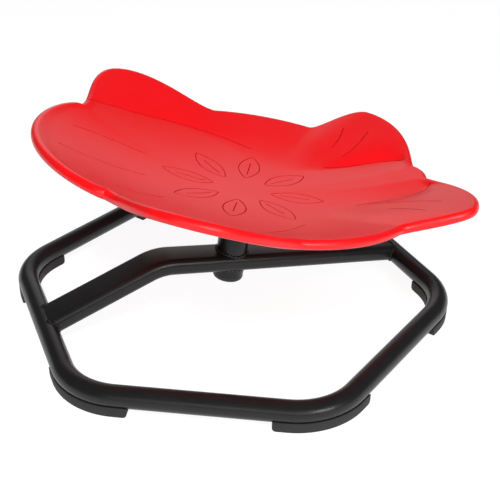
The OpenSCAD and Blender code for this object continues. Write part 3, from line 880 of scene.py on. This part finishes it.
# %% Run round the rim
tail_steps = 16
far_tail_notch = (-tail_notch[0], *tail_notch[1:])
half_rim = lobe(far_tail_notch, tail_notch, tail_swell, tail_form, tail_steps)[tail_steps // 2:]
half_rim += lobe(tail_notch, foot_notch, foot_swell, foot_form, steps=60)
half_rim += lobe(foot_notch, side_notch, side_swell, side_form, steps=28)
half_rim += lobe(side_notch, arm_notch, arm_swell, arm_form, steps=60)
half_rim += lobe(arm_notch, mirrored(arm_notch), head_swell, head_form, steps=44, share=0.5)
crown = (180, arm_notch[1] + head_swell[0], arm_notch[2] + head_swell[1])
rim = half_rim + [crown] + [mirrored(p) for p in reversed(half_rim[1:])]
print("rim points", len(rim))

# %% [markdown]
# ## The dish
# The middle of the seat is a shallow bowl that runs from the head to the tail. It ends at a fold from the
# arm notch to the tail notch, crisp at both ends and soft in between. Beyond the fold the sides turn up
# and run straight to the rim. Each section climbs from the floor over the fold, runs tangent into a full
# round edge and comes back underneath at an even wall to the boss.

# %% Write the fold
fold_points = (
    (-205, 158), (-184, 167), (-152, 175), (-108, 178), (-67, 179), (-26, 171), (12, 154), (48, 127),
    (78, 111), (105, 94), (125, 78), (141, 66), (161, 62), (182, 61), (206, 61), (228, 58), (247, 51),
    (256, 43))
fold_softness = ((8, 4), (16, 6), (22, 14), (35, 40), (60, 45), (75, 30), (90, 14), (105, 6), (144, 4))
fold_margin = 10
fold_steps = 24


def smooth_curve(points, steps):
    """A smooth curve through the points."""
    spots = [Vector(q) for q in points]
    spots = [2 * spots[0] - spots[1]] + spots + [2 * spots[-1] - spots[-2]]
    curve = []
    for before, start, end, after in zip(spots, spots[1:], spots[2:], spots[3:]):
        for i in range(steps):
            s = i / steps
            bend = (2 * start - 2 * end + (end - before) / 2 + (after - start) / 2) * s ** 3
            lift = (3 * end - 3 * start - (end - before) - (after - start) / 2) * s ** 2
            curve.append(start + (end - before) / 2 * s + lift + bend)
    return curve + [spots[-2]]


def looked_up(table, x):
    """The table's value at x, straight between its points and level beyond its ends."""
    if x <= table[0][0]:
        return table[0][1]
    for (x0, y0), (x1, y1) in zip(table, table[1:]):
        if x <= x1:
            return y0 + (y1 - y0) * (x - x0) / (x1 - x0)
    return table[-1][1]


def soft_ramp(n, w):
    """Nothing before the fold and n beyond it, with a round bend of half width w."""
    return (n + w) ** 2 / (4 * w) if abs(n) < w else max(n, 0)


fold = smooth_curve(fold_points, fold_steps)
fold_reach = sorted((math.degrees(math.atan2(q.y, q.x)), q.length) for q in fold)
print("fold reaches from", round(fold_reach[0][1]), "to", round(min(r for _, r in fold_reach)), "mm")

# %% Write the climb of a section
dish_height = 105.5
dish_power = 2.2
bowl_dip = 15
dip_power = 0.55
edge_r = 6.5
slope_tries = 6


def spot(point, distance, z):
    """A place in the seat's own frame in the direction of a rim point."""
    angle = math.radians(point[0])
    return (distance * math.cos(angle) * MM, distance * math.sin(angle) * MM, z * MM)


def climb(point):
    """The top's rise by distance, its fold and the bend there.

    Also where the top meets the round edge, and its slope there.
    """
    side = min(point[0], 360 - point[0])
    softness = looked_up(fold_softness, side)
    fold_at = min(looked_up(fold_reach, side), point[1] - edge_r - fold_margin)
    share = (side - tail_notch[0]) / (arm_notch[0] - tail_notch[0])
    bowl = point
    if 0 < share < 1:
        bowl = [mix(a, b, share) for a, b in zip(tail_notch, arm_notch)]
        bowl[2] -= bowl_dip * math.sin(math.pi * share ** dip_power) ** 2

    def bowl_rise(d):
        return bowl[2] * (d / (bowl[1] - edge_r)) ** dish_power

    lean = dish_power * bowl_rise(fold_at) / fold_at
    slope = 0
    for _ in range(slope_tries):
        end = point[1] - edge_r - edge_r * math.sin(slope)
        height = point[2] - edge_r + edge_r * math.cos(slope)
        extra = height - bowl_rise(fold_at) - lean * (end - fold_at)
        turn_up = extra / soft_ramp(end - fold_at, softness)

        def rise(d):
            straight = bowl_rise(min(d, fold_at)) + lean * max(0, d - fold_at)
            return straight + turn_up * soft_ramp(d - fold_at, softness)

        slope = math.atan(rise(end) - rise(end - 1))
    return rise, fold_at, softness, end, slope


# %% Write the whole section
shell_wall = 4.5
floor_rows = 34
bend_rows = 10
side_rows = 20
bend_share = 0.4
under_side_rows = 10
under_floor_rows = 18
edge_steps = 16
lip_round = 1
root_round = 2
root_steps = 4
boss_r = 74
boss_roof = 100
boss_profile = [
    (73, 96), (70.6, 89.1), (plate_r, plate_high), (69, plate_high), (41, plate_high), (40, plate_high),
    (39.7, 89.2), (36, boss_roof)]


def section(point):
    """Places from the dish floor out over the edge and back underneath, without the two poles."""
    rise, fold_at, softness, end, slope = climb(point)
    edge_x = point[1] - edge_r
    edge_z = dish_height + point[2] - edge_r
    bend_start = fold_at - softness
    bend_end = fold_at + min(softness, bend_share * (end - fold_at))
    runs = [(0, bend_start, floor_rows), (bend_start, bend_end, bend_rows), (bend_end, end, side_rows)]
    top = [mix(start, stop, i / count) for start, stop, count in runs for i in range(1, count + 1)]
    profile = [(d, dish_height + rise(d)) for d in top]
    for i in range(1, edge_steps + 1):
        a = mix(math.pi / 2 + slope, -math.pi / 2, i / edge_steps)
        profile.append((edge_x + edge_r * math.cos(a), edge_z + edge_r * math.sin(a)))
    inside = edge_x - shell_wall / 2
    bottom = edge_z - edge_r
    lip = 0.3 * lip_round
    profile += [
        (inside + lip_round, bottom), (inside + lip, bottom + lip), (inside, bottom + lip_round)]
    for i in range(1, root_steps + 1):
        a = math.pi / 2 * i / root_steps
        d = inside - root_round * (1 - math.cos(a))
        profile.append((d, dish_height + rise(d) - shell_wall - root_round * (1 - math.sin(a))))
    runs = [(inside - root_round, fold_at, under_side_rows), (fold_at, boss_r, under_floor_rows)]
    for start, stop, count in runs:
        for i in range(1, count + 1):
            d = mix(start, stop, i / count)
            profile.append((d, dish_height + rise(d) - shell_wall))
    return [spot(point, d, z) for d, z in profile + boss_profile]


# %% Lay a grid over it
sections = [section(p) for p in rim]
columns = len(sections)
rows = len(sections[0]) + 1
fresh()
bpy.ops.mesh.primitive_grid_add(x_subdivisions=columns, y_subdivisions=rows, size=2)
shell = bpy.context.active_object
shell.name = "seat_dish"
flat = [0.0] * (3 * len(shell.data.vertices))
for index, vertex in enumerate(shell.data.vertices):
    column = round((vertex.co.x + 1) / 2 * columns) % columns
    row = round((vertex.co.y + 1) / 2 * rows)
    co = (0, 0, dish_height * MM)
    if row == rows:
        co = (0, 0, boss_roof * MM)
    elif row:
        co = sections[column][row - 1]
    flat[3 * index:3 * index + 3] = co
shell.data.vertices.foreach_set("co", flat)
bpy.ops.object.mode_set(mode="EDIT")
close_up(shell)
print("dish", columns, "by", rows, "faces")

# %% [markdown]
# ## The groove design
# The dish carries thin moulded grooves. One runs along each crisp end of the folds. The rest is a plain
# design: a rosette of eight leaves round the middle and a few veins along the lobes. Each line is laid on
# the dish by dropping its points onto the surface, given the thickness of the groove and cut out. The
# faces that the tool left are marked, so that the finish can be duller there and darkened with painted
# shade.

# %% Draw the lines
leaf_steps = 24
leaf_power = 0.8
vein_steps = 40
vein_power = 1.5


def polar(distance, angle):
    """The point at that distance and angle from the middle."""
    a = math.radians(angle)
    return (distance * math.cos(a), distance * math.sin(a))


def leaf(angle, inner, outer, half_width):
    """A closed almond that points outwards."""
    a = math.radians(angle)
    points = []
    for side in (1, -1):
        for i in range(leaf_steps):
            s = i / leaf_steps if side > 0 else 1 - i / leaf_steps
            d = mix(inner, outer, s)
            shift = side * half_width * math.sin(math.pi * s) ** leaf_power
            points.append((d * math.cos(a) - shift * math.sin(a), d * math.sin(a) + shift * math.cos(a)))
    return points


def vein(inner, outer, start_angle, end_angle):
    """An open line that turns a little as it runs outwards."""
    shares = [i / vein_steps for i in range(vein_steps + 1)]
    return [polar(mix(inner, outer, s), mix(start_angle, end_angle, s ** vein_power)) for s in shares]


leaf_angles = [22.5 + 45 * i for i in range(8)]
closed_lines = [leaf(angle, inner=40, outer=112, half_width=15) for angle in leaf_angles]
open_lines = [vein(52, 92, angle, angle) for angle in leaf_angles]
side_veins = ((192, 262, 25, 29), (198, 246, 33, 37), (140, 236, 150, 160))
creases = (fold[12:169:4], fold[264::4])
for side in (1, -1):
    for inner, outer, a, b in side_veins:
        open_lines.append(vein(inner, outer, side * a, side * b))
    for crease in creases:
        open_lines.append([(q.x, side * q.y) for q in crease])
open_lines.append(vein(134, 248, 180, 180))
print(len(closed_lines), "leaves and", len(open_lines), "veins and creases")

# %% Lay the lines on the dish
groove_r = 0.9 * MM
groove_depth = 1.1 * MM
drop_height = 0.5


def on_dish(x, y):
    """The place on the upright dish straight below a point, and the direction out of the surface."""
    _, where, out, _ = shell.ray_cast(Vector((x * MM, y * MM, drop_height)), Vector((0, 0, -1)))
    return where, out


curve = bpy.data.curves.new("groove_tool", "CURVE")
curve.dimensions = "3D"
curve.bevel_depth = groove_r
curve.bevel_resolution = 1
curve.use_fill_caps = True
for lines, closed in ((closed_lines, True), (open_lines, False)):
    for points in lines:
        line = curve.splines.new("POLY")
        line.points.add(len(points) - 1)
        line.use_cyclic_u = closed
        for target, (x, y) in zip(line.points, points):
            where, out = on_dish(x, y)
            target.co = (*(where + out * (groove_r - groove_depth)), 1)
print("groove tool of", len(curve.splines), "lines")

# %% Cut the grooves
tool = bpy.data.objects.new("groove_tool", curve)
scene.collection.objects.link(tool)
pick(tool)
bpy.ops.object.convert(target="MESH")
tool = bpy.context.active_object
shell.data.materials.append(seat_red)
tool.data.materials.append(powder_black)
cut_away(shell, tool, material_mode="TRANSFER")
mark = shell.data.attributes.new("groove", "FLOAT", "FACE")
mark.data.foreach_set("value", [float(face.material_index) for face in shell.data.polygons])
place(shell, at_seat)
fit(shell, "seat", seat_red, "seat_plastic", "seat_shell")

# %% [markdown]
# ## What stays as it is
# The bearings, spindle, spacer, nut and inserts sit inside the hub and the boss. Their shapes are right
# already, so they only take a finish.

# %% Finish the inner pieces
bearing_parts = ("outer_race", "inner_race", "balls", "cage")
bearing_names = [bearing + part for bearing in ("upper_", "lower_") for part in bearing_parts]
for material, names in (
        (ground_steel, bearing_names + ["bearing_spacer", "spindle"]),
        (zinc_plate, ["retaining_washer", "lock_nut"]),
        (turned_brass, ["threaded_inserts"])):
    for name in names:
        nodes[name].data.materials.clear()
        nodes[name].data.materials.append(material)
print("inner pieces finished")
